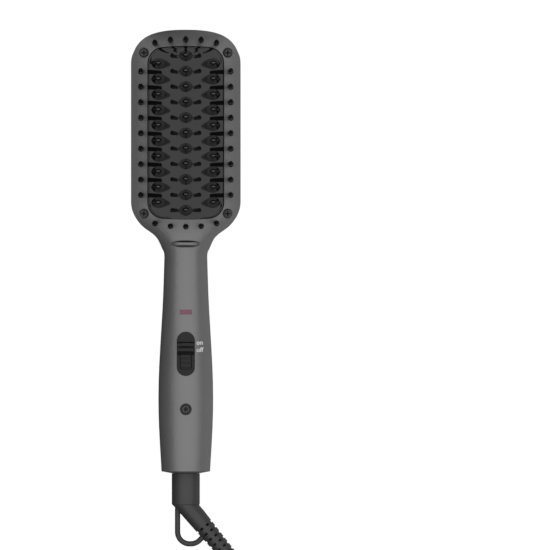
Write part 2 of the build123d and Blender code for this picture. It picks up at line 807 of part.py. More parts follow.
# ---------------------------------------------------------------- swivel outlet
ring_spots = [7.2, 11.2]
ring_long = 2.0
ring_r = journal_r + 0.8
with BuildPart() as swivel_bush:
    add(axle(bush_r, 0.1, end_wall, journal_r + fit))
    add(axle(bush_r + 1.2, end_wall, end_wall + 0.8, journal_r + fit))
with BuildPart() as swivel_barrel:
    add(axle(stub_r, -stub_long, -0.4))
    fillet(swivel_barrel.edges(), 0.6)
    add(axle(journal_r, -0.6, journal_end))
    add(axle(journal_r + 2.0, end_wall + 0.8 + part_gap, end_wall + 2.2 + part_gap))
    add(axle(journal_r - 1.0, -stub_long - 5.0, -stub_long + 1))
    add(axle(1.8, -stub_long - 6, journal_end + 1), mode=Mode.SUBTRACT)
with BuildPart() as slip_rings:
    for y in ring_spots:
        add(axle(ring_r, y, y + ring_long, journal_r))
holder_top = -journal_r - 2.2
with BuildPart() as slip_holder:
    add(block(-7.5, 7.5, 6.0, 14.6, -20, holder_top))
    add(back_under, mode=Mode.INTERSECT)
with BuildPart() as slip_springs:
    for side, y in ((1, ring_spots[0]), (-1, ring_spots[1])):
        near = ring_r + 0.1
        add(block(min(side * near, side * (near + 0.3)), max(side * near, side * (near + 0.3)), y + 0.2,
                  y + ring_long - 0.2, holder_top, 3.0))
        add(block(min(side * near, side * 7.4), max(side * near, side * 7.4), y + 0.2, y + ring_long - 0.2,
                  holder_top, holder_top + 0.3))

# ---------------------------------------------------------------- boot with its hanging loop
turn = radians(boot_turn)
along = Vector(sin(turn), -cos(turn), 0)
across = Vector(cos(turn), sin(turn), 0)
root = Vector(boot_shift, -stub_long - 0.3, 0)


def boot_plane(distance):
    """Plane across the boot at a distance from its root."""
    return Plane(origin=root + along * distance, x_dir=across, z_dir=along)


def boot_core(shrink):
    """Tapered oval body of the boot."""
    with BuildPart() as core:
        for share in (0.16, 0.5, 1.0):
            with BuildSketch(boot_plane(share * boot_long)):
                Ellipse(
                    (boot_wide + share * (boot_end_wide - boot_wide)) / 2 - shrink,
                    (boot_high + share * (boot_end_high - boot_high)) / 2 - shrink,
                )
        loft()
    return core.part


rib_count = int((boot_long - rib_first - 2.5) / rib_pitch) + 1
outer_boot = boot_core(0)
inner_boot = boot_core(rib_deep)
with BuildPart() as rib_cutter:
    for n in range(rib_count):
        with BuildSketch(boot_plane(rib_first + n * rib_pitch)):
            Rectangle(2 * boot_wide, 2 * boot_high)
        extrude(amount=rib_gap)
    add(inner_boot, mode=Mode.SUBTRACT)
    with BuildSketch(boot_plane(0)):
        Rectangle(2 * rib_slot_x - rib_slot_wide, 2 * boot_high)
    extrude(amount=boot_long + 5, mode=Mode.SUBTRACT)
    for n in range(rib_count):
        for side in (-1, 1):
            for way in (-1, 1):
                with BuildSketch(boot_plane(rib_first + n * rib_pitch)):
                    with Locations((side * rib_slot_x, way * (rib_slot_floor + boot_high / 2))):
                        Rectangle(rib_slot_wide, boot_high)
                extrude(amount=rib_gap)

with BuildPart() as boot_knuckle:
    with BuildSketch(Plane.XZ.offset(stub_long)):
        Circle(stub_r - 0.5)
    with BuildSketch(boot_plane(0.16 * boot_long)):
        Ellipse(
            (boot_wide + 0.16 * (boot_end_wide - boot_wide)) / 2,
            (boot_high + 0.16 * (boot_end_high - boot_high)) / 2,
        )
    loft()

with BuildPart() as hanging_loop:
    with BuildLine() as bow:
        FilletPolyline((-5.1, -stub_long - 1.5), (-5.1, -43.7), (6.3, -43.7), (13.5, -36.5),
                       radius=[7.4, 7.4])
    with BuildSketch(Plane(origin=bow.line @ 0, x_dir=(1, 0, 0), z_dir=bow.line % 0)):
        Ellipse(loop_thick / 2, loop_thick / 2 + 0.6)
    sweep()

with BuildPart() as swivel_boot:
    add(outer_boot)
    add(rib_cutter.part, mode=Mode.SUBTRACT)
    add(boot_knuckle.part)
    add(hanging_loop.part)
    add(axle(journal_r - 1.0, -stub_long - 5.0, -stub_long + 1), mode=Mode.SUBTRACT)
    with BuildSketch(boot_plane(boot_long - bore_deep)):
        Circle(cord_r)
    extrude(amount=bore_deep + 5, mode=Mode.SUBTRACT)
print("boot", swivel_boot.part.volume, swivel_boot.part.is_valid, len(swivel_boot.part.solids()))

# ---------------------------------------------------------------- wires inside the body
wire_r = 0.6
mains_routes = []
for side, y in ((1, ring_spots[0]), (-1, ring_spots[1])):
    mains_routes.append([
        (side * 6.6, y + 1, holder_top + 0.3 + wire_r),
        (side * 9.2, y + 10, holder_top + 1.2),
        (side * 9.6, 32, holder_top),
        (side * 8.4, 42, holder_top + 1),
        (side * 5.0, board_low - 1, board_bottom - wire_r - 2.5),
        (side * 5.0, board_low + 9, board_bottom - wire_r),
        (side * 5.0, board_low + 18, board_bottom - wire_r),
    ])
heater_routes = []
for side, height in ((-1, stack[3] - 0.5), (1, stack[0] - 0.5)):
    heater_routes.append([
        (side * 3.0, board_high - 14, board_bottom - wire_r),
        (side * 3.0, board_high - 5, board_bottom - wire_r),
        (side * 3.0, board_high + 8, board_bottom - 1.5),
        (side * 3.0, 135, 0.5),
        (side * 3.0, 146, 0.8),
        (side * 3.0, clamp_low - 8.5, 1.0),
        (side * 3.0, clamp_low - 5.5, height - 0.5),
        (side * 3.0, clamp_low - 3, height),
    ])
sensor_routes = []
for side in (-1, 1):
    sensor_routes.append([
        (side * 5.2, board_high - 14, board_bottom - wire_r),
        (side * 5.2, board_high - 5, board_bottom - wire_r),
        (side * 5.2, board_high + 8, board_bottom - 1.5),
        (side * 6.5, 135, 0.5),
        (side * 7.5, 148, 0.9),
        (side * 9.0, clamp_low - 5, 1.6),
        (side * 9.0, clamp_low + 5, 2.5),
    ])


def wires(routes):
    """Round wires along their routes."""
    with BuildPart() as bundle:
        for points in routes:
            add(tube(points, wire_r, bend_radii(points)))
    return bundle.part


mains_wires = wires(mains_routes)
heater_wires = wires(heater_routes)
sensor_wires = wires(sensor_routes)

# ---------------------------------------------------------------- laying the brush down
belly = handle_rings[2]
head_touch = nose_y - 37.3
tilt = degrees(atan((belly[3] - back_depth) / (head_touch - belly[0])))
leaned = Location((0, 0, 0), (-tilt, 0, 0))
rest = -rear_housing.part.moved(leaned).bounding_box().min.Z
down = Location((0, 0, rest)) * leaned
far_y = front_housing.part.moved(down).bounding_box().max.Y
near_y = swivel_barrel.part.moved(down).bounding_box().min.Y
middle = Location((0, -(far_y + near_y) / 2, 0))
place = middle * down

# ---------------------------------------------------------------- lead, on the table
start = (down * Location(root + along * (boot_long - bore_deep))).position
after = (down * Location(root + along * (boot_long + 10))).position
coil_out = coil_mean + cord_d
join = Vector(coil_x + coil_out, coil_y + 26, cord_r)
cord_points = [
    tuple(start),
    tuple(after),
    (coil_x + 38.6, -93.5, 0.68 * after.Z),
    (join.X, -112.8, cord_r),
    tuple(join),
]
power_cord = tube(cord_points, cord_r, bend_radii(cord_points))
print("cord bends over the diameter", [round(value / cord_d, 1) for value in bend_radii(cord_points)])

with BuildPart() as cord_coil:
    with Locations((0, 0, coil_high / 2)):
        Cylinder(coil_mean + coil_wide / 2, coil_high)
        Cylinder(coil_mean - coil_wide / 2, coil_high, mode=Mode.SUBTRACT)
    fillet(cord_coil.edges().filter_by(GeomType.CIRCLE), cord_r - 0.05)
    with Locations((coil_out, 0, cord_r)):
        Cylinder(cord_r, 26, rotation=(90, 0, 0), align=(Align.CENTER, Align.CENTER, Align.MAX))
tie_thick = 0.8
tie_half = 4.0
tie_in = coil_mean - coil_wide / 2 - 0.4
tie_out = coil_mean + coil_wide / 2 + fit
cord_coil = cord_coil.part - block(-tie_half - 0.5, tie_half + 0.5, 0, 2 * coil_mean, -1, tie_thick + fit)
with BuildPart() as cord_tie:
    add(block(-tie_half, tie_half, tie_in - tie_thick, tie_out + tie_thick, 0, coil_high + fit + tie_thick))
    fillet(cord_tie.edges().filter_by(Axis.X), 1.5)
    add(block(-tie_half - 1, tie_half + 1, tie_in, tie_out, tie_thick, coil_high + fit), mode=Mode.SUBTRACT)
coil_place = Location((coil_x, coil_y, 0))
plug_place = coil_place * Location((0, 0, 0), (0, 0, 90))

tail_bend = 30.0
lie = coil_high + cord_r
plug_thick = 13.7
plug_axis = coil_high + plug_thick / 2
step_run = 2 * tail_bend * tan(radians(15))
hub_y = -(coil_out - tail_bend)
tail_points = [(step_run / 2 + 1, -coil_out, lie)]
for n, height in enumerate((lie, lie + 0.5 * (plug_axis - lie), plug_axis)):
    angle = radians(-105 - 30 * n)
    reach = tail_bend / cos(radians(15))
    tail_points.append((reach * cos(angle), hub_y + reach * sin(angle), height))
tail_end = hub_y + step_run / 2
tail_points.append((-tail_bend, tail_end, plug_axis))
cord_tail = tube(tail_points, cord_r, bend_radii(tail_points))
print("tail bends over the diameter", [round(value / cord_d, 1) for value in bend_radii(tail_points)])

plug_wide = 35.0
plug_long = 30.0
relief_long = 20.0
pin_r = 2.0
pin_long = 19.0
pin_apart = 18.6
pin_root_r = 1.5
sleeve_long = 10.0
pin_tip = 1.2
relief_end = tail_end + relief_long
plug_face = relief_end + plug_long
pin_spots = [-tail_bend + side * pin_apart / 2 for side in (-1, 1)]
with BuildPart() as plug_body:
    with BuildSketch(Plane.XY.offset(plug_axis - plug_thick / 2)):
        with BuildLine():
            Polyline(
                (-tail_bend - 7, relief_end),
                (-tail_bend + 7, relief_end),
                (-tail_bend + plug_wide / 2, relief_end + 12),
                (-tail_bend + plug_wide / 2, plug_face),
                (-tail_bend - plug_wide / 2, plug_face),
                (-tail_bend - plug_wide / 2, relief_end + 12),
                close=True,
            )
        make_face()
    extrude(amount=plug_thick)
    fillet(plug_body.edges().filter_by(Axis.Z).sort_by(Axis.Y)[:4], 4.0)
    broad = plug_body.faces().sort_by(Axis.Z)
    fillet(broad[-1].edges() + broad[0].edges(), 2.2)
    with Locations((-tail_bend, tail_end, plug_axis)):
        Cone(5.8, cord_r + 0.9, relief_long + 0.5, rotation=(90, 0, 0),
             align=(Align.CENTER, Align.CENTER, Align.MAX))
    with Locations([(x, plug_face + sleeve_long / 2 - 1, plug_axis) for x in pin_spots]):
        Cylinder(pin_r, sleeve_long + 2, rotation=(-90, 0, 0))
    with Locations([(x, plug_face, plug_axis) for x in pin_spots]):
        Cylinder(pin_root_r, 2 * sleeve_long, rotation=(-90, 0, 0), mode=Mode.SUBTRACT)
with BuildPart() as plug_pins:
    with Locations([(x, plug_face, plug_axis) for x in pin_spots]):
        Cylinder(pin_root_r, 2 * sleeve_long, rotation=(-90, 0, 0))
    bare = pin_long - sleeve_long - pin_tip
    with Locations([(x, plug_face + sleeve_long + bare / 2, plug_axis) for x in pin_spots]):
        Cylinder(pin_r, bare, rotation=(-90, 0, 0))
    with Locations([(x, plug_face + pin_long - pin_tip / 2, plug_axis) for x in pin_spots]):
        Cone(pin_r, 1.0, pin_tip, rotation=(-90, 0, 0))

# ---------------------------------------------------------------- files
brush = {
    "front_housing": front_housing.part,
    "rear_housing": rear_housing.part,
    "heater_plate": heater_plate.part,
    "teeth_centre": teeth_centre.part,
    "teeth_side": teeth_side.part,
    "plate_bristles": plate_bristles.part,
    "rim_bristles": rim_bristles.part,
    "end_bristles": end_bristles.part,
    "corner_screws": corner_screws.part,
    "handle_screw": handle_screw.part,
    "indicator_lens": indicator_lens.part,
    "indicator_led": indicator_led.part,
    "switch_bezel": switch_bezel,
    "switch_slider": switch_slider,
    "switch_lever": switch_lever,
    "slide_switch": slide_switch.part,
    "circuit_board": circuit_board.part,
    "board_parts": board_parts.part,
    "heater_film": heater_film.part,
    "heater_electrodes": heater_electrodes.part,
    "ptc_heaters": ptc_heaters.part,
    "heater_clamp": heater_clamp.part,
    "clamp_screws": clamp_screws.part,
    "thermal_fuse": thermal_fuse.part,
    "thermistor": thermistor.part,
    "heat_shield": heat_shield.part,
    "swivel_bush": swivel_bush.part,
    "swivel_barrel": swivel_barrel.part,
    "slip_rings": slip_rings.part,
    "slip_holder": slip_holder.part,
    "slip_springs": slip_springs.part,
    "mains_wires": mains_wires,
    "heater_wires": heater_wires,
    "sensor_wires": sensor_wires,
    "swivel_boot": swivel_boot.part,
}
for name, shape in brush.items():
    laid = shape.moved(place)
    laid.label = name
    export_step(laid, f"parts/{name}.step")
    box = laid.bounding_box()
    print(name, len(laid.solids()), round(laid.volume, 1), laid.is_valid,
          [round(v, 1) for v in (*box.min, *box.max)])

lead = {
    "power_cord": power_cord.moved(middle),
    "cord_coil": cord_coil.moved(middle * coil_place),
    "cord_tie": cord_tie.part.moved(middle * coil_place),
    "cord_tail": cord_tail.moved(middle * plug_place),
    "plug_body": plug_body.part.moved(middle * plug_place),
    "plug_pins": plug_pins.part.moved(middle * plug_place),
}
for name, laid in lead.items():
    laid.label = name
    export_step(laid, f"parts/{name}.step")
    box = laid.bounding_box()
    print(name, len(laid.solids()), round(laid.volume, 1), laid.is_valid,
          [round(v, 1) for v in (*box.min, *box.max)])


def told(name, location):
    """Print a place and a direction on the laid part."""
    spot = (place * location).position
    print(name, [round(v / 1000, 5) for v in spot])


told("swivel", Location((0, 0, 0)))
told("swivel end", Location((0, -100, 0)))
told("slide", switch_place)
told("slide on", switch_place * Location((0, 100, 0)))
told("boot end", Location(root + along * boot_long))
told("loop", Location((0, -37, 0)))
print("tilt", tilt, "switch slope", switch_slope, "shift", -(far_y + near_y) / 2)
for title, shift, points, laid in (
    ("route", middle, cord_points, power_cord),
    ("tail", middle * plug_place, tail_points, cord_tail),
):
    print(title, [[round(v, 2) for v in (shift * Location(point)).position] for point in points])
    whole = route_long(points)
    print(title, "length", round(whole, 1), "volume over section times length",
          round(laid.volume / (pi * cord_r**2 * whole), 4))
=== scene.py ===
from math import cos, degrees, pi, radians, sin, sqrt

import bmesh
import bpy
from mathutils import Matrix, Vector
from mathutils.bvhtree import BVHTree


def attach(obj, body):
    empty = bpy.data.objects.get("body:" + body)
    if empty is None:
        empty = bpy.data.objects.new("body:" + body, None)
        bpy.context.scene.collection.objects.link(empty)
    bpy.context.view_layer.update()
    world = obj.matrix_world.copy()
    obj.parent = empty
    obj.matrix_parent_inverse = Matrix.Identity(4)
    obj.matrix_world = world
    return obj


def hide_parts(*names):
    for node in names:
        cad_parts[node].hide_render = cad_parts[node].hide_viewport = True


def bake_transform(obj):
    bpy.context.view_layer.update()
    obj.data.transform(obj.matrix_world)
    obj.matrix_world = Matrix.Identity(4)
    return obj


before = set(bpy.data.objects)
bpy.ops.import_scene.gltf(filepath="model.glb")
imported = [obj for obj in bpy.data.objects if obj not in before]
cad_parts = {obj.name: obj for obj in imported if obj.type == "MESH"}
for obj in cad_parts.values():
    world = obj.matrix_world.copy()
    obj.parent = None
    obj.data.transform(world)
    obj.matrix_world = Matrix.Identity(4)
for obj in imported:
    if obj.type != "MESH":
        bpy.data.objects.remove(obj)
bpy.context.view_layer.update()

mm = 0.001


# ---------------------------------------------------------------- table, light and camera
# A pale sheet lies under the brush. A wide soft panel hangs over it, so that the domed plate mirrors
# it evenly, and a narrow strip from the right lifts the grip's far edge.
class Channel:
    """A value in a finish; arithmetic on it adds Math nodes."""

    def __init__(self, finish, socket):
        self.finish = finish
        self.socket = socket

    def maths(self, operation, *terms):
        return self.finish.node("ShaderNodeMath", {"operation": operation}, dict(enumerate(terms)))

    def __radd__(self, other):
        return self.maths("ADD", other, self)

    def __rmul__(self, other):
        return self.maths("MULTIPLY", other, self)


class Finish:
    """One material, built node by node."""

    def __init__(self, name):
        self.material = bpy.data.materials.new(name)
        self.material.use_nodes = True
        self.tree = self.material.node_tree
        self.tree.nodes.clear()
        self.end = self.tree.nodes.new("ShaderNodeOutputMaterial")

    def node(self, kind, settings, inputs, output=0):
        """One shader node with its settings and inputs; what it gives out is a channel."""
        made = self.tree.nodes.new(kind)
        for name, value in settings.items():
            setattr(made, name, value)
        for name, value in inputs.items():
            if isinstance(value, Channel):
                self.tree.links.new(value.socket, made.inputs[name])
            else:
                made.inputs[name].default_value = value
        return Channel(self, made.outputs[output])

    def place(self):
        """Where on the piece a point lies."""
        return self.node("ShaderNodeTexCoord", {}, {}, "Object")

    def grain(self, size, detail=2.0, stretch=None):
        """Even noise with grains of that size in metres, 0 to 1."""
        where = self.place()
        if stretch:
            where = self.node("ShaderNodeMapping", {}, {"Vector": where, "Scale": stretch})
        return self.node("ShaderNodeTexNoise", {}, {"Vector": where, "Scale": 1 / size, "Detail": detail})

    def blend(self, share, dark, light):
        """A colour between two, by a share of 0 to 1."""
        return self.node("ShaderNodeMix", {"data_type": "RGBA"}, {0: share, 6: dark, 7: light}, 2)

    def bump(self, height, depth, strength=1.0):
        """A fine relief, that many metres deep."""
        return self.node("ShaderNodeBump", {}, {"Height": height, "Distance": depth, "Strength": strength})

    def skin(self, **inputs):
        """The surface itself, with the sockets named as words."""
        named = {}
        for name, value in inputs.items():
            named[name.replace("_", " ").title().replace("Ior", "IOR")] = value
        shader = self.node("ShaderNodeBsdfPrincipled", {}, named)
        self.tree.links.new(shader.socket, self.end.inputs["Surface"])


def grey(level):
    """Linear colour of an 8-bit screen grey."""
    value = ((level / 255 + 0.055) / 1.055) ** 2.4
    return (value, value, value, 1.0)


scene = bpy.context.scene
scene.view_settings.view_transform = "Standard"

table_half = 3.0
table_under = 0.2 * mm
table = bmesh.new()
bmesh.ops.create_grid(table, x_segments=1, y_segments=1, size=table_half)
sheet_mesh = bpy.data.meshes.new("table_sheet")
table.to_mesh(sheet_mesh)
table.free()
table_sheet = bpy.data.objects.new("table_sheet", sheet_mesh)
table_sheet.location.z = -table_under
scene.collection.objects.link(table_sheet)

paper = Finish("pale_paper")
seen = paper.node("ShaderNodeLightPath", {}, {}, "Is Camera Ray")
lit = paper.node("ShaderNodeBsdfDiffuse", {}, {"Color": grey(232)})
sheet_x = paper.node("ShaderNodeSeparateXYZ", {}, {"Vector": paper.place()})
across = paper.node("ShaderNodeMapRange", {}, {"Value": sheet_x, "From Min": -0.01, "From Max": 0.03})
bounce = paper.blend(across, grey(70), grey(190))
shade = paper.node("ShaderNodeBsdfDiffuse", {}, {"Color": bounce})
glow = paper.node("ShaderNodeEmission", {}, {"Color": (1, 1, 1, 1), "Strength": 1.14})
bright = paper.node("ShaderNodeMixShader", {}, {0: 0.82, 1: lit, 2: glow})
sheet = paper.node("ShaderNodeMixShader", {}, {0: seen, 1: shade, 2: bright})
paper.tree.links.new(sheet.socket, paper.end.inputs["Surface"])
table_sheet.data.materials.append(paper.material)

scene.world = bpy.data.worlds.new("studio")
scene.world.use_nodes = True
room = scene.world.node_tree
room.nodes.clear()
room_end = room.nodes.new("ShaderNodeOutputWorld")
wall_light = room.nodes.new("ShaderNodeBackground")
wall_light.inputs["Color"].default_value = (1, 1, 1, 1)
wall_light.inputs["Strength"].default_value = 0.05
seen_wall = room.nodes.new("ShaderNodeBackground")
seen_wall.inputs["Strength"].default_value = 1.0
which = room.nodes.new("ShaderNodeMixShader")
path = room.nodes.new("ShaderNodeLightPath")
room.links.new(path.outputs["Is Camera Ray"], which.inputs[0])
room.links.new(wall_light.outputs[0], which.inputs[1])
room.links.new(seen_wall.outputs[0], which.inputs[2])
room.links.new(which.outputs[0], room_end.inputs["Surface"])


def panel(name, place, aim, size, radiance):
    """A soft light panel of that size and brightness."""
    lamp = bpy.data.lights.new(name, "AREA")
    lamp.shape = "RECTANGLE"
    lamp.size, lamp.size_y = size
    lamp.energy = radiance * pi * size[0] * size[1]
    lit_from = bpy.data.objects.new(name, lamp)
    lit_from.location = place
    lit_from.rotation_euler = (Vector(aim) - Vector(place)).to_track_quat("-Z", "Y").to_euler()
    lit_from.visible_camera = False
    scene.collection.objects.link(lit_from)


panel("overhead", (0.03, 0.0, 0.8), (0.0, 0.0, 0.0), (2.6, 2.4), 1.2)
panel("right_strip", (0.9, 0.0, 0.03), (0.0, 0.0, 0.02), (1.6, 0.05), 1.5)

image_span = 0.341
far_off = 6.0
focus_height = 0.02
view_middle = (0.0553, -0.0023)
eye = bpy.data.cameras.new("eye")
eye.sensor_width = 36.0
eye.lens = eye.sensor_width * far_off / image_span
eye.clip_end = 50.0
camera = bpy.data.objects.new("camera", eye)
camera.location = (0.0, view_middle[1], far_off + focus_height)
eye.shift_x = view_middle[0] / image_span
scene.collection.objects.link(camera)
scene.camera = camera


# ---------------------------------------------------------------- mains lead, wound up with its plug
# A round two-core lead in soft black vinyl, 1.8 m long. It leaves the boot, drops to the table and is
# wound in a neat coil of seven turns in three layers. The last turn crosses the strap, and the moulded
# plug lies on the coil.
lead_width = 6.5 * mm
coil_middle = Vector((16.0, -283.37, 0.0)) * mm
outer_turn = 42.5 * mm
strap_rise = 1.3 * mm
free_run = [(32.54, -183.63, 16.91), (46.59, -200.56, 17.19), (54.6, -218.87, 11.69), (58.5, -238.17, 3.25),
            (58.5, -257.37, 3.25), (58.5, -270.37, 3.25)]
plug_run = [(58.5, -274.33, 22.75), (58.5, -291.41, 22.75), (50.46, -305.33, 24.55), (36.54, -313.37, 26.35),
            (28.5, -313.37, 26.35), (20.46, -313.37, 26.35)]


def passed(turns, begin, end):
    """How far a stretch of the winding is done, 0 to 1."""
    return min(1.0, max(0.0, (turns - begin) / (end - begin)))


def eased(turns, begin, end):
    """The same with a soft start and end."""
    return (1 - cos(pi * passed(turns, begin, end))) / 2


def wound(turns):
    """Radius and height of the winding after so many turns.

    The first layer goes inward, the second outward and the third inward again. The last turn climbs
    on top, goes outward and crosses the strap.
    """
    radius, height = outer_turn, lead_width / 2
    for n in (0, 1):
        radius -= lead_width * (1 - cos(pi / 2 * passed(turns, n + 0.66, n + 0.985)))
    height += lead_width * sin(pi / 2 * passed(turns, 2.66, 2.985))
    for n in (3, 4):
        radius += lead_width * eased(turns, n + 0.15, n + 0.46)
    height += lead_width * eased(turns, 4.68, 4.985)
    radius -= lead_width * eased(turns, 5.15, 5.46)
    height += lead_width * eased(turns, 6.08, 6.38)
    radius += lead_width * eased(turns, 6.5, 6.9)
    height += strap_rise * sin(pi * passed(turns, 6.62, 6.88))**2
    return radius, height


points_a_turn, turns_wound = 20, 6.95
winding = []
for n in range(round(turns_wound * points_a_turn)):
    radius, height = wound(n / points_a_turn)
    angle = -2 * pi * n / points_a_turn
    winding.append(coil_middle + Vector((radius * cos(angle), radius * sin(angle), height)))
lead_points = [Vector(p) * mm for p in free_run] + winding + [Vector(p) * mm for p in plug_run]


def spline_mesh(name, points, bevel=0.0):
    """Mesh of the lead's own line, or of a round tube along it."""
    curve = bpy.data.curves.new(name, "CURVE")
    curve.dimensions = "3D"
    curve.resolution_u = 4
    curve.bevel_depth = bevel
    curve.bevel_resolution = 6
    curve.use_fill_caps = bevel > 0
    line = curve.splines.new("NURBS")
    line.points.add(len(points) - 1)
    for spot, point in zip(line.points, points):
        spot.co = (*point, 1.0)
    line.order_u = 3
    line.use_endpoint_u = True
    holder = bpy.data.objects.new(name, curve)
    scene.collection.objects.link(holder)
    made = bpy.data.meshes.new_from_object(holder.evaluated_get(bpy.context.evaluated_depsgraph_get()))
    bpy.data.objects.remove(holder)
    return made


def placed(name, mesh, material, smooth=True):
    """A finished piece of the object."""
    piece = bpy.data.objects.new(name, mesh)
    scene.collection.objects.link(piece)
    mesh.materials.clear()
    mesh.materials.append(material)
    for face in mesh.polygons:
        face.use_smooth = smooth
    return piece


lead_line = spline_mesh("lead_line", lead_points)
vinyl = Finish("soft_vinyl")
creases = vinyl.grain(0.0016, 3.0)
vinyl.skin(
    base_color=vinyl.blend(vinyl.grain(0.02), grey(50), grey(60)),
    roughness=0.42 + 0.12 * creases,
    specular_ior_level=0.4,
    normal=vinyl.bump(creases, 0.00006, 0.5),
)
lead_mesh = spline_mesh("mains_lead", lead_points, lead_width / 2)
mains_lead = placed("mains_lead", lead_mesh, vinyl.material)
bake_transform(mains_lead)
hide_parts("power_cord", "cord_coil", "cord_tail")

# ---------------------------------------------------------------- plug, its pins and the coil's strap
# The plug is one vinyl moulding over two round nickel-plated pins. A hook-and-loop strap holds the
# coil together.
def welded(node, name, finish, angle=32.0, body="housing"):
    """A moulded piece with its facets joined and its curves shaded smooth, riding on its body."""
    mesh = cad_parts[node].data.copy()
    mesh.name = name
    work = bmesh.new()
    work.from_mesh(mesh)
    bmesh.ops.remove_doubles(work, verts=work.verts, dist=2e-6)
    bmesh.ops.dissolve_degenerate(work, edges=work.edges, dist=1e-6)
    for edge in work.edges:
        edge.smooth = len(edge.link_faces) == 2 and degrees(edge.calc_face_angle(pi)) < angle
    work.to_mesh(mesh)
    work.free()
    piece = placed(name, mesh, finish)
    even = piece.modifiers.new("even", "WEIGHTED_NORMAL")
    even.keep_sharp = True
    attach(piece, body)
    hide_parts(node)
    return piece


plug = welded("plug_body", "plug", vinyl.material)
nickel = Finish("nickel_plate")
scuffs = nickel.grain(0.004, 4.0, (1, 8, 1))
nickel.skin(base_color=(0.62, 0.6, 0.56, 1), metallic=1.0, roughness=0.18 + 0.14 * scuffs)
pins = welded("plug_pins", "plug_pins_bright", nickel.material)
strap_cloth = Finish("strap_cloth")
loops = strap_cloth.grain(0.0009, 2.0)
strap_cloth.skin(
    base_color=strap_cloth.blend(loops, grey(18), grey(38)), roughness=0.9,
    normal=strap_cloth.bump(loops, 0.0003), sheen_weight=0.3,
)
strap = welded("cord_tie", "coil_strap", strap_cloth.material)

# ---------------------------------------------------------------- painted shade in recess floors and creases
# Recess floors and creases are painted in flat, dull greys as shade, so they look darker than the faces
# around them. They are picked by their place in the body's own frame: seam at zero height, handle
# end at zero length.
lean = radians(0.925)
laid = Matrix.Translation((0, -125.37 * mm, 15.97 * mm)) @ Matrix.Rotation(-lean, 4, "X")
unlaid = laid.inverted()


def painted_shade_finish(name, level):
    """Dull finish of that screen grey, painted on as shade."""
    floor = Finish(name)
    mottle = floor.grain(0.0008, 2.0)
    floor.skin(base_color=floor.blend(mottle, grey(level), grey(level + 8)), roughness=0.7 + 0.1 * mottle,
               specular_ior_level=0.1)
    return floor.material


dark_shade_paint = painted_shade_finish("dark_painted_shade", 20)
dim_shade_paint = painted_shade_finish("dim_painted_shade", 54)
pale_shade_paint = painted_shade_finish("pale_painted_shade", 104)
slot_shade_paint = painted_shade_finish("slot_painted_shade", 40)


def paint_shade_on(piece, finish, chosen):
    """Give the faces that the test picks, by their middle in millimetres and direction, that finish as
    painted shade.
    """
    piece.data.materials.append(finish)
    number = len(piece.data.materials) - 1
    for face in piece.data.polygons:
        if chosen(*(unlaid @ face.center / mm), face.normal.z):
            face.material_index = number


# ---------------------------------------------------------------- body halves
# Two injection-moulded shells in satin anthracite meet at one seam. The moulding tool leaves a very
# fine even grain.
anthracite = Finish("satin_anthracite")
tool_grain = anthracite.grain(0.00035, 2.0)
drift = anthracite.grain(0.03, 1.0)
anthracite.skin(
    base_color=anthracite.blend(drift, grey(82), grey(90)),
    roughness=0.42 + 0.08 * tool_grain,
    ior=2.0,
    normal=anthracite.bump(tool_grain, 0.00002, 0.6),
)
front_shell = welded("front_housing", "front_shell", anthracite.material)
welded("rear_housing", "rear_shell", anthracite.material)

# The handle screw sits deep in a round recess, whose floor is painted a flat grey as shade and shows as a
# ring round the screw.
screw_y, recess_r, screw_wall = 39.7, 3.75, 16.2
paint_shade_on(front_shell, pale_shade_paint, lambda x, y, z, up: x**2 + (y - screw_y)**2 < recess_r**2 and z < screw_wall)

# The outlet fills the ring between its round neck and the handle's end.
outlet = welded("swivel_barrel", "swivel_outlet", vinyl.material, body="swivel")
outlet_r, rounded_r, lip_low, lip_rise = 8.7, 8.05, -1.15, 0.35
for vertex in outlet.data.vertices:
    x, y, z = unlaid @ vertex.co / mm
    reach = sqrt(x**2 + z**2)
    if y > lip_low and reach > rounded_r:
        vertex.co = laid @ (Vector((x * outlet_r / reach, y + lip_rise, z * outlet_r / reach)) * mm)

# A low ridge across the neck stops the fingers. Its flanks are painted in greys as shade, darkest on the
# flank toward the head, and fading toward its ends.
ridge_y, ridge_reach, ridge_foot, ridge_crest, crest_reach = 142.2, 9.9, 3.1, 0.65, 8.7
root_half, root_reach, crown_rise, crown_fall = 2.3, 9.7, 16.4, 3.6
crown_r, crown_middle, ridge_bottom, proud, spare = 11.6, 4.8, 12.6, 0.06, 0.02
ridge_steps = 28
ridge_form = bmesh.new()
slices = []
for n in range(ridge_steps + 1):
    x = ridge_reach * (2 * n / ridge_steps - 1)
    crown = sqrt(crown_r**2 - x**2) + crown_middle
    low = min(crown - 0.1, ridge_bottom)
    root = root_half * max(0.0, 1 - (x / root_reach)**2)
    top = ridge_crest * max(0.0, 1 - (x / crest_reach)**2)
    crest = top + (crown_rise - crown) / crown_fall * (root - top) + 2 * spare
    foot = max(crest, ridge_foot * (1 - (x / ridge_reach)**2)) + spare
    slices.append([ridge_form.verts.new(laid @ (Vector((x, ridge_y + y, z)) * mm)) for y, z in (
        (-foot, low), (-crest, crown + proud), (crest, crown + proud), (foot, low))])
for one, two in zip(slices, slices[1:]):
    for a in range(4):
        b = (a + 1) % 4
        ridge_form.faces.new((one[a], two[a], two[b], one[b]))
ridge_form.faces.new(slices[0])
ridge_form.faces.new(slices[-1])
bmesh.ops.recalc_face_normals(ridge_form, faces=ridge_form.faces)
ridge_mesh = bpy.data.meshes.new("finger_ridge")
ridge_form.to_mesh(ridge_mesh)
ridge_form.free()
finger_ridge = placed("finger_ridge", ridge_mesh, anthracite.material, False)
flank_up = 0.85
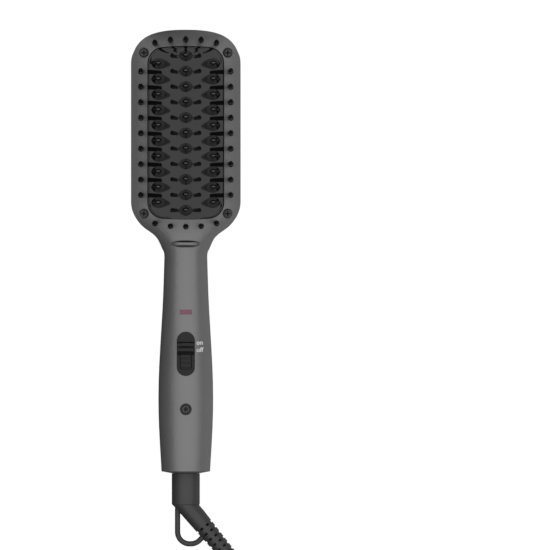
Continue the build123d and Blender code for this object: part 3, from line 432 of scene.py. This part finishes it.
# Painted shade on the flanks: darker on the flank toward the head, lighter toward the ridge's ends.
for inner, outer, far_shade_grey, near_shade_grey in ((0.0, 4.6, 38, 60), (4.6, 6.6, 54, 74), (6.6, 8.8, 78, 92)):
    for side, flank, level in ((1, "far_flank_shade", far_shade_grey), (-1, "near_flank_shade", near_shade_grey)):
        paint_shade_on(finger_ridge, painted_shade_finish(f"{flank}_{level}", level), lambda x, y, z, up: (
            side * (y - ridge_y) > 0 and inner <= abs(x) < outer and up < flank_up))
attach(finger_ridge, "housing")

# ---------------------------------------------------------------- strain relief with its hanging loop
# One flexible vinyl moulding: a bent neck, five rows of cut ribs that let it bend, and a loop. The
# middle rows of cuts are set a little closer together than the mould's own.
relief = welded("swivel_boot", "strain_relief", vinyl.material, 28.0, body="swivel")
boot_bend, boot_long = radians(39.7), 62.0
boot_root = Vector((0.6, -19.8, 0.0))
boot_along = Vector((sin(boot_bend), -cos(boot_bend), 0.0))
boot_across = Vector((cos(boot_bend), sin(boot_bend), 0.0))
slot_floor, slot_sides, slot_places = 3.9, (0.0, 2.05, 3.75), (0.0, 1.2, 3.05)
rib_start, rib_end, gap_deep = 16.5, 60.5, 0.65
middle_cuts, middle_depth, side_cuts, side_depth = (1.15, 3.1), 0.72, 0.82, 0.9


def boot_section(far):
    """Half width and half height of the boot's oval at a distance from its root."""
    share = far / boot_long
    return 6.4 - 2.0 * share, 8.3 - 2.55 * share


for vertex in relief.data.vertices:
    spot = unlaid @ vertex.co / mm
    far, side, rise = (spot - boot_root).dot(boot_along), (spot - boot_root).dot(boot_across), spot.z
    wide, high = boot_section(far)
    if far < rib_start - 0.05 or abs(rise) < slot_floor or (side / wide)**2 + (rise / high)**2 > 1.05:
        continue
    sides, places = (*slot_sides, wide), (*slot_places, wide)
    for n in range(3):
        if sides[n] <= abs(side) <= sides[n + 1]:
            share = (abs(side) - sides[n]) / (sides[n + 1] - sides[n])
            moved = places[n] + share * (places[n + 1] - places[n])
    for inset in (0.0, gap_deep):
        before = (side / (wide - inset))**2 + (rise / (high - inset))**2
        if 0.95 < before < 1.05:
            above = (high - inset) * sqrt(max(0.0, before - (moved / (wide - inset))**2))
            rise = above if rise > 0 else -above
            break
    place = boot_root + boot_along * far + boot_across * (moved if side > 0 else -moved)
    vertex.co = laid @ (Vector((place.x, place.y, rise)) * mm)


def in_gap(x, y, z, up):
    """Whether a face lies in one of the boot's cuts."""
    spot = Vector((x, y, 0.0)) - boot_root
    far, side = spot.dot(boot_along), abs(spot.dot(boot_across))
    wide, high = boot_section(far)
    inside = (side / wide)**2 + (z / high)**2
    middle_cut = middle_cuts[0] < side < middle_cuts[1] and inside < middle_depth
    side_cut = side > side_cuts * wide and inside < side_depth
    return rib_start < far < rib_end and (middle_cut or side_cut)


# The floors of the boot's cuts are painted a dark grey as shade.
paint_shade_on(relief, slot_shade_paint, in_gap)

# ---------------------------------------------------------------- slide switch
# A black stadium insert is glued in the handle, and a ribbed thumb slide runs in its slot. Both are
# moulded in the same hard plastic. The floors of the slide's dips and groove are painted darker as shade.
black_plastic = Finish("black_switch_plastic")
spark = black_plastic.grain(0.0003, 2.0)
black_plastic.skin(
    base_color=black_plastic.blend(black_plastic.grain(0.01), grey(15), grey(21)),
    roughness=0.38 + 0.14 * spark,
    specular_ior_level=0.3,
    normal=black_plastic.bump(spark, 0.00002, 0.6),
)
insert = welded("switch_bezel", "switch_insert", black_plastic.material)
thumb_slide = welded("switch_slider", "thumb_slide", black_plastic.material, body="switch")
slide_middle = Vector((0.0, -51.09, 29.88))
slide_along, slide_up = Vector((0.0, 0.9967, -0.0809)), Vector((0.0, 0.0809, 0.9967))
dips, grip_groove, grip_floor = ((-0.76, 1.46), (6.44, 7.42)), (3.24, 4.66), 1.9


def in_dip(x, y, z, up):
    """Whether a face is the floor of a dip beside the grip, or of the groove in the grip."""
    spot = laid @ (Vector((x, y, z)) * mm) / mm - slide_middle
    far, high = spot.dot(slide_along), spot.dot(slide_up)
    in_groove = grip_groove[0] < far < grip_groove[1] and 1.0 < high < grip_floor
    return up > 0.5 and (in_groove or any(low < far < top for low, top in dips))


# Painted shade on the floors of the dips beside the grip and of the groove in it.
paint_shade_on(insert, dark_shade_paint, in_dip)
paint_shade_on(thumb_slide, dark_shade_paint, in_dip)

# Two pad-printed words stand beside the slide, as thin films of pale ink that follow the handle's skin.
word_x, film_over, film_thick, from_above = 6.6 * mm, 0.04 * mm, 0.1 * mm, 0.1
downward = Vector((0, 0, -1))
ink = Finish("pale_ink")
ink.skin(base_color=ink.blend(ink.grain(0.0006), grey(196), grey(226)), roughness=0.55)
skin_of_shell = BVHTree.FromObject(front_shell, bpy.context.evaluated_depsgraph_get())
for word, baseline in (("on", -45.4 * mm), ("off", -49.9 * mm)):
    lettering = bpy.data.curves.new(word, "FONT")
    lettering.body = word
    lettering.size = 3.9 * mm
    lettering.resolution_u = 6
    lettering.offset = 0.09 * mm
    holder = bpy.data.objects.new(word, lettering)
    scene.collection.objects.link(holder)
    flat = bpy.data.meshes.new_from_object(holder.evaluated_get(bpy.context.evaluated_depsgraph_get()))
    bpy.data.objects.remove(holder)
    print_film = bmesh.new()
    print_film.from_mesh(flat)
    bmesh.ops.translate(print_film, verts=print_film.verts, vec=(word_x, baseline, 0.0))
    for vertex in print_film.verts:
        hit = skin_of_shell.ray_cast(Vector((vertex.co.x, vertex.co.y, from_above)), downward)
        vertex.co.z = hit[0].z + film_over
    raised = bmesh.ops.extrude_face_region(print_film, geom=print_film.faces[:])
    sunk = [v for v in raised["geom"] if isinstance(v, bmesh.types.BMVert)]
    bmesh.ops.translate(print_film, verts=sunk, vec=(0, 0, -film_thick))
    bmesh.ops.recalc_face_normals(print_film, faces=print_film.faces)
    print_film.to_mesh(flat)
    print_film.free()
    word_piece = placed("word_" + word, flat, ink.material, False)
    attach(word_piece, "housing")

# ---------------------------------------------------------------- indicator and screws
# A dark red window in the handle covers the lamp. Blackened cross-head screws hold the head's halves
# together and a zinc one holds the handle's. Their drives are painted dark inside as shade.
ruby = Finish("ruby_window")
ruby.skin(
    base_color=ruby.blend(ruby.grain(0.002), (0.12, 0.026, 0.05, 1), (0.16, 0.04, 0.07, 1)),
    roughness=0.22, coat_weight=0.3,
)
welded("indicator_lens", "indicator_window", ruby.material)
black_steel = Finish("blackened_steel")
turned = black_steel.grain(0.0005, 3.0)
black_steel.skin(
    base_color=black_steel.blend(turned, grey(40), grey(84)), metallic=0.8, roughness=0.40 + 0.2 * turned,
)
head_screws = welded("corner_screws", "head_screws", black_steel.material)
zinc = Finish("dull_zinc")
brushed = zinc.grain(0.0005, 3.0)
zinc.skin(base_color=zinc.blend(brushed, grey(70), grey(96)), metallic=0.9, roughness=0.42 + 0.16 * brushed)
grip_screw = welded("handle_screw", "grip_screw", zinc.material)
corners = [(x, y) for x in (-26.0, 26.0) for y in (161.0, 260.8)]
cross_reach, head_top, drive_r, drive_top = 1.95, 6.85, 1.6, 14.7
# Painted shade inside the cross drives of the head screws and of the handle screw.
paint_shade_on(head_screws, dark_shade_paint, lambda x, y, z, up: z < head_top and any(
    (x - a)**2 + (y - b)**2 < cross_reach**2 for a, b in corners))
paint_shade_on(grip_screw, dim_shade_paint, lambda x, y, z, up: z < drive_top and x**2 + (y - screw_y)**2 < drive_r**2)

# ---------------------------------------------------------------- heated plate
# Die-cast aluminium under a glossy dark ceramic glaze, which mirrors the bristles that stand on it. The
# glazed skin is a thin sheet that follows the casting's dome and arched ends.
glaze = Finish("dark_ceramic_glaze")
ripple = glaze.grain(0.006, 2.0)
glaze.skin(
    base_color=glaze.blend(glaze.grain(0.012), grey(16), grey(20)),
    roughness=0.5,
    coat_weight=1.0,
    coat_roughness=0.05,
    specular_ior_level=0.0,
    normal=glaze.bump(ripple, 0.00002, 0.4),
)
hot_plate = welded("heater_plate", "hot_plate", glaze.material)
dome = BVHTree.FromObject(hot_plate, bpy.context.evaluated_depsgraph_get())
plate_half, plate_low, plate_high = 23.2 * mm, 157.7 * mm, 264.2 * mm
plate_arch, plate_corner, plate_edge, dome_radius = 1.7 * mm, 9.4 * mm, 0.5 * mm, 56.1 * mm
quiet_x, straight_half, skin_thick, skin_over = 11.0 * mm, 35 * mm, 2.0 * mm, 0.03 * mm
plate_mid = (plate_low + plate_high) / 2
columns, rows = 46, 40

glazed = bmesh.new()
outline = [(-plate_half, plate_low + plate_arch), (plate_half, plate_low + plate_arch),
           (plate_half, plate_high - plate_arch), (-plate_half, plate_high - plate_arch)]
glazed.faces.new([glazed.verts.new((x, y, 0.0)) for x, y in outline])
bmesh.ops.bevel(glazed, geom=glazed.verts[:], offset=plate_corner, segments=14, profile=0.5,
                affect="VERTICES", material=-1)


def cut_across(place, direction):
    """Cut the flat skin along one plane, so that it can follow the dome."""
    bmesh.ops.bisect_plane(glazed, geom=glazed.verts[:] + glazed.edges[:] + glazed.faces[:],
                           plane_co=place, plane_no=direction)


for n in range(1, columns):
    cut_across(((2 * n / columns - 1) * plate_half, 0, 0), (1, 0, 0))
for n in range(1, rows):
    cut_across((0, plate_low + n / rows * (plate_high - plate_low), 0), (0, 1, 0))
top = bmesh.ops.extrude_face_region(glazed, geom=glazed.faces[:])
risen = [v for v in top["geom"] if isinstance(v, bmesh.types.BMVert)]
bmesh.ops.translate(glazed, verts=risen, vec=(0, 0, skin_thick))
bmesh.ops.recalc_face_normals(glazed, faces=glazed.faces)
brow = [edge for edge in glazed.edges
        if min(v.co.z for v in edge.verts) > skin_thick / 2
        and any(abs(f.normal.z) < 0.5 for f in edge.link_faces)
        and any(f.normal.z > 0.5 for f in edge.link_faces)]
bmesh.ops.bevel(glazed, geom=brow, offset=plate_edge, segments=4, profile=0.5, affect="EDGES", material=-1)
for vertex in glazed.verts:
    x, y, z = vertex.co
    near_end = (abs(y - plate_mid) - straight_half) / (plate_high - plate_mid - straight_half)
    near_end = min(1.0, max(0.0, near_end))
    y += plate_arch * (1 - (x / plate_half) ** 2) * near_end * (1 if y > plate_mid else -1)
    spot = laid @ Vector((x, y, 0))
    probe = laid @ Vector((quiet_x, min(y, plate_high - mm), 0))
    crown = dome.ray_cast(Vector((probe.x, probe.y, from_above)), downward)[0].z
    crown += sqrt(dome_radius**2 - x**2) - sqrt(dome_radius**2 - quiet_x**2)
    vertex.co = (spot.x, spot.y, crown + z - skin_thick + skin_over)
face_mesh = bpy.data.meshes.new("plate_face")
glazed.to_mesh(face_mesh)
glazed.free()
plate_face = placed("plate_face", face_mesh, glaze.material)
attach(plate_face, "housing")

# ---------------------------------------------------------------- teeth and bristles
# The teeth are a heat-proof black moulding pushed over the plate's cores. The bristles are nylon, in
# two rows between the teeth and in one row all round the rim.
tooth_black = Finish("tooth_black")
fine = tooth_black.grain(0.0005, 2.0)
tooth_black.skin(
    base_color=tooth_black.blend(fine, grey(10), grey(16)), roughness=0.12 + 0.08 * fine, ior=1.6,
    normal=tooth_black.bump(fine, 0.00001, 0.5),
)
nylon_black = Finish("bristle_nylon")
drawn = nylon_black.grain(0.0004, 2.0, (1, 1, 0.2))
nylon_black.skin(
    base_color=nylon_black.blend(drawn, grey(6), grey(12)), roughness=0.30 + 0.1 * drawn,
    specular_ior_level=0.06,
    normal=nylon_black.bump(drawn, 0.00001, 0.5),
)
tall_teeth = welded("teeth_centre", "tall_teeth", tooth_black.material)
short_teeth = welded("teeth_side", "short_teeth", tooth_black.material)

# Each tooth ends in a narrow crest over a sloping shoulder.
tooth_low, half_pitch, on_top = 162.9, 9.573 / 2, 0.02
for teeth, tip, rounding, row_x, narrow_x, narrow_y, gap, slope in (
        (tall_teeth, 33.4, 0.5, 0.0, 0.6, 0.5, 0.45, 1.2),
        (short_teeth, 30.1, 0.8, 17.05, 0.8, 0.6, 0.22, 0.9)):
    for vertex in teeth.data.vertices:
        x, y, z = unlaid @ vertex.co / mm
        if z > tip - on_top:
            row = tooth_low + round((y - tooth_low) / half_pitch) * half_pitch
            column = row_x if x > 0 else -row_x
            x, y = column + (x - column) * narrow_x, row + (y - row) * narrow_y
        elif z > tip - rounding - on_top / 2:
            share = min(1.0, max(0.0, (z - tip + rounding) / rounding))
            inset = rounding * (1 - sqrt(1 - share**2))
            z = tip - slope * (rounding + gap - inset)
        vertex.co = laid @ (Vector((x, y, z)) * mm)
for node, name in (("plate_bristles", "guard_bristles"), ("rim_bristles", "outer_bristles"),
                   ("end_bristles", "row_bristles")):
    welded(node, name, nylon_black.material)

# ---------------------------------------------------------------- what the shells enclose
# Heating stones in film under a steel clamp, a mica tray, the circuit board, wires and slip rings. Each
# finish has its dark and light colour, metal share, roughness and the pieces that wear it.
inner_finishes = {
    "zinc_steel": ((0.42, 0.42, 0.44, 1), (0.56, 0.56, 0.57, 1), 1.0, 0.3,
                   ("heater_clamp", "clamp_screws", "thermal_fuse")),
    "bare_strip": ((0.66, 0.66, 0.67, 1), (0.76, 0.76, 0.76, 1), 1.0, 0.25, ("heater_electrodes",)),
    "amber_film": ((0.36, 0.17, 0.02, 1), (0.46, 0.24, 0.04, 1), 0.0, 0.2, ("heater_film",)),
    "heating_stone": ((0.62, 0.6, 0.55, 1), (0.75, 0.72, 0.68, 1), 0.0, 0.7, ("ptc_heaters", "thermistor")),
    "mica_tray": ((0.58, 0.55, 0.46, 1), (0.7, 0.68, 0.6, 1), 0.0, 0.6, ("heat_shield",)),
    "board_green": ((0.02, 0.11, 0.04, 1), (0.03, 0.16, 0.07, 1), 0.0, 0.3, ("circuit_board",)),
    "component_black": ((0.02, 0.02, 0.02, 1), (0.05, 0.05, 0.05, 1), 0.0, 0.35,
                        ("board_parts", "slide_switch")),
    "lamp_red": ((0.5, 0.06, 0.05, 1), (0.6, 0.1, 0.08, 1), 0.0, 0.15, ("indicator_led",)),
    "natural_nylon": ((0.6, 0.6, 0.55, 1), (0.7, 0.7, 0.66, 1), 0.0, 0.4,
                      ("swivel_bush", "slip_holder", "switch_lever")),
    "turned_brass": ((0.62, 0.45, 0.18, 1), (0.72, 0.56, 0.28, 1), 1.0, 0.22, ("slip_rings", "slip_springs")),
    "silicone_wire": ((0.4, 0.05, 0.04, 1), (0.5, 0.1, 0.08, 1), 0.0, 0.5,
                      ("mains_wires", "heater_wires", "sensor_wires")),
}
for name, (dark, light, metal, rough, nodes) in inner_finishes.items():
    inner = Finish(name)
    speck = inner.grain(0.0012, 3.0)
    inner.skin(base_color=inner.blend(speck, dark, light), metallic=metal, roughness=rough + 0.15 * speck)
    for node in nodes:
        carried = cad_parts[node]
        carried.data.materials.clear()
        carried.data.materials.append(inner.material)
